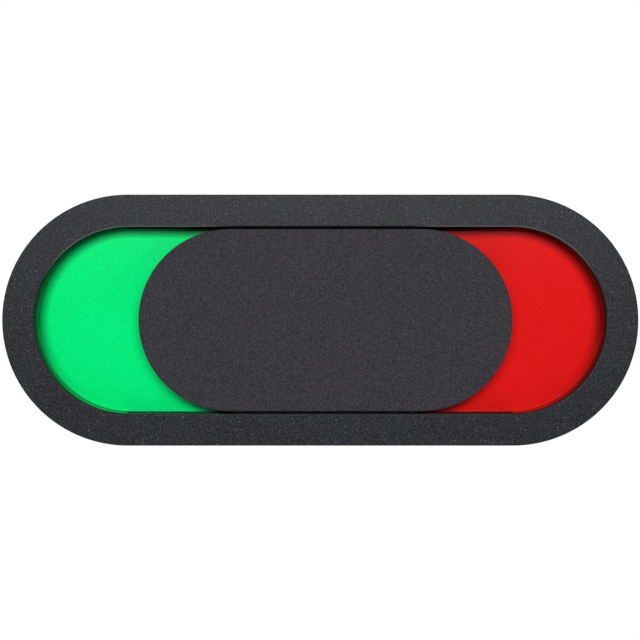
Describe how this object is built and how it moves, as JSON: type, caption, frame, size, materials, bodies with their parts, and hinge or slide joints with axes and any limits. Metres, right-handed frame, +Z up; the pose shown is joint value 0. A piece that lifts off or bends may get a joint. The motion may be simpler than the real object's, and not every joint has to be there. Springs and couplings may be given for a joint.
{
  "type": "sliding status sign",
  "caption": "Stadium-shaped wall or door sign with a hand-pushed slider that covers a green or a red panel to show free or occupied.",
  "frame": {"origin": "centre of the wall plane that the adhesive pads rest on", "axes": "+X to the right along the sign, +Y into the wall, +Z up; the front looks towards -Y"},
  "size_m": [0.152, 0.0095, 0.06],
  "materials": {
    "frame_powder_coat": "satin",
    "slider_powder_coat": "matte",
    "green_acrylic": "satin",
    "red_acrylic": "satin",
    "black_moulding": "matte",
    "carriage_acetal": "matte",
    "rail_acetal": "satin",
    "glide_acetal": "satin",
    "bumper_rubber": "matte",
    "spring_steel": "satin",
    "zinc_screws": "satin",
    "adhesive_film": "gloss",
    "foam_tape": "matte"
  },
  "bodies": {
    "housing": {"front_frame": "frame_powder_coat", "back_plate": "black_moulding", "upper_guide_rail": "rail_acetal", "lower_guide_rail": "rail_acetal", "green_panel": "green_acrylic", "red_panel": "red_acrylic", "green_panel_film": "adhesive_film", "red_panel_film": "adhesive_film", "upper_bumper_left": "bumper_rubber", "upper_bumper_right": "bumper_rubber", "lower_bumper_left": "bumper_rubber", "lower_bumper_right": "bumper_rubber", "frame_screws": "zinc_screws", "wall_pad_left": "foam_tape", "wall_pad_centre": "foam_tape", "wall_pad_right": "foam_tape"},
    "slider": {"slider_face": "slider_powder_coat", "slider_carriage": "carriage_acetal", "slider_screws": "zinc_screws", "friction_spring_left": "spring_steel", "friction_spring_right": "spring_steel", "glide_pad_left": "glide_acetal", "glide_pad_right": "glide_acetal"}
  },
  "joints": [
    {"name": "slider_travel", "type": "slide", "parent": "housing", "child": "slider", "axis": [1, 0, 0], "range_m": [-0.02465, 0.02215]}
  ]
}
